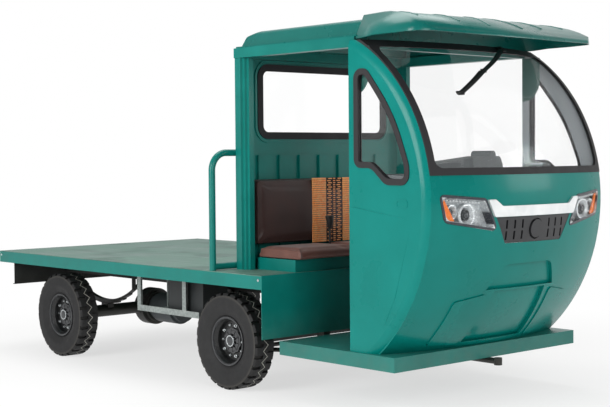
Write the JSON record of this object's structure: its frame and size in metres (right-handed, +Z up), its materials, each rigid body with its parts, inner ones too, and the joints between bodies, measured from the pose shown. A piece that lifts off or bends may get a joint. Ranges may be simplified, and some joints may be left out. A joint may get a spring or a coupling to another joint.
{
  "type": "electric platform truck",
  "caption": "Flat-bed electric platform truck with an open-sided forward cab, steered front axle, bench seat, guard hoop and under-slung battery trays.",
  "frame": {"origin": "on the ground, under the middle of the overall length and width", "axes": "+X forward to the cab, +Y to the truck's left, +Z up"},
  "size_m": [4.3948, 1.9, 2.2605],
  "materials": {
    "deck_paint": "worn satin",
    "body_paint": "gloss",
    "shell_paint": "gloss",
    "chassis_black": "satin",
    "tail_red": "gloss",
    "galvanised": "satin",
    "battery_case": "matte",
    "motor_grey": "matte",
    "brown_vinyl": "satin",
    "cane_mat": "satin",
    "black_plastic": "matte",
    "dash_grey": "matte",
    "seal_rubber": "matte",
    "clear_glass": "clear",
    "lamp_grey": "satin",
    "lamp_lens": "clear",
    "chrome": "polished",
    "tyre_rubber": "matte",
    "rim_black": "satin"
  },
  "bodies": {
    "chassis": {"load_deck": "deck_paint", "cab_deck": "body_paint", "platform_frame": "body_paint", "cross_members": "chassis_black", "main_rails": "chassis_black", "drop_posts": "chassis_black", "bulkhead_panel": "body_paint", "rear_board": "chassis_black", "tail_lamps": "tail_red", "guard_hoop": "body_paint", "battery_trays": "galvanised", "battery_boxes": "battery_case", "rear_axle": "chassis_black", "drive_motor": "motor_grey", "leaf_springs": "chassis_black", "front_axle": "chassis_black", "tow_bar": "chassis_black", "cab_floor": "body_paint", "seat_box": "body_paint", "seat_cushions": "brown_vinyl", "seat_back": "brown_vinyl", "seat_mat": "cane_mat", "gear_lever": "black_plastic", "pedals": "black_plastic", "steering_column": "chassis_black", "dashboard": "dash_grey", "back_wall": "body_paint", "b_pillars": "body_paint", "roof_rails": "body_paint", "roof": "shell_paint", "visor": "shell_paint", "front_panel": "shell_paint", "side_panels": "shell_paint", "window_seals": "seal_rubber", "window_glass": "clear_glass", "windscreen_seal": "seal_rubber", "windscreen_glass": "clear_glass", "headlamps": "lamp_grey", "headlamp_lenses": "lamp_lens", "grille": "black_plastic", "grille_bar": "chrome", "wiper": "black_plastic"},
    "knuckle_right": {"knuckle_right": "chassis_black"},
    "knuckle_left": {"knuckle_left": "chassis_black"},
    "tie_rod": {"tie_rod": "chassis_black"},
    "pitman_arm": {"pitman_arm": "chassis_black"},
    "drag_link": {"drag_link": "chassis_black"},
    "steering_wheel": {"steering_wheel": "black_plastic"},
    "wheel_front_left": {"tyre_front_left": "tyre_rubber", "rim_front_left": "rim_black"},
    "wheel_front_right": {"tyre_front_right": "tyre_rubber", "rim_front_right": "rim_black"},
    "wheel_rear_left": {"tyre_rear_left": "tyre_rubber", "rim_rear_left": "rim_black"},
    "wheel_rear_right": {"tyre_rear_right": "tyre_rubber", "rim_rear_right": "rim_black"}
  },
  "joints": [
    {"name": "steer_right", "type": "hinge", "parent": "chassis", "child": "knuckle_right", "pos_m": [0.4125, -0.65, 0.303], "axis": [0, 0, 1], "range_deg": [-30, 30]},
    {"name": "steer_left", "type": "hinge", "parent": "chassis", "child": "knuckle_left", "pos_m": [0.4125, 0.65, 0.303], "axis": [0, 0, 1], "range_deg": [-30, 30]},
    {"name": "tie_rod_pivot", "type": "hinge", "parent": "knuckle_right", "child": "tie_rod", "pos_m": [0.2825, -0.65, 0.245], "axis": [0, 0, 1], "range_deg": [-30, 30]},
    {"name": "pitman_pivot", "type": "hinge", "parent": "chassis", "child": "pitman_arm", "pos_m": [1.3075, 0, 0.3], "axis": [0, 0, 1], "range_deg": [-30, 30]},
    {"name": "drag_link_pivot", "type": "hinge", "parent": "pitman_arm", "child": "drag_link", "pos_m": [1.3075, 0.13, 0.245], "axis": [0, 0, 1], "range_deg": [-30, 30]},
    {"name": "steering_wheel_turn", "type": "hinge", "parent": "chassis", "child": "steering_wheel", "pos_m": [1.14186, 0, 1.06419], "axis": [-0.2588, 0, 0.9659], "range_deg": [-360, 360]},
    {"name": "wheel_front_left_spin", "type": "hinge", "parent": "knuckle_left", "child": "wheel_front_left", "pos_m": [0.4125, 0.77, 0.303], "axis": [0, 1, 0], "continuous": true},
    {"name": "wheel_front_right_spin", "type": "hinge", "parent": "knuckle_right", "child": "wheel_front_right", "pos_m": [0.4125, -0.77, 0.303], "axis": [0, 1, 0], "continuous": true},
    {"name": "wheel_rear_left_spin", "type": "hinge", "parent": "chassis", "child": "wheel_rear_left", "pos_m": [-1.5325, 0.77, 0.303], "axis": [0, 1, 0], "continuous": true},
    {"name": "wheel_rear_right_spin", "type": "hinge", "parent": "chassis", "child": "wheel_rear_right", "pos_m": [-1.5325, -0.77, 0.303], "axis": [0, 1, 0], "continuous": true}
  ],
  "couplings": [
    {"joint": "steer_left", "follows": "steer_right", "ratio": 1},
    {"joint": "tie_rod_pivot", "follows": "steer_right", "ratio": -1},
    {"joint": "pitman_pivot", "follows": "steer_right", "ratio": 1},
    {"joint": "drag_link_pivot", "follows": "steer_right", "ratio": -1},
    {"joint": "steering_wheel_turn", "follows": "steer_right", "ratio": 12}
  ]
}
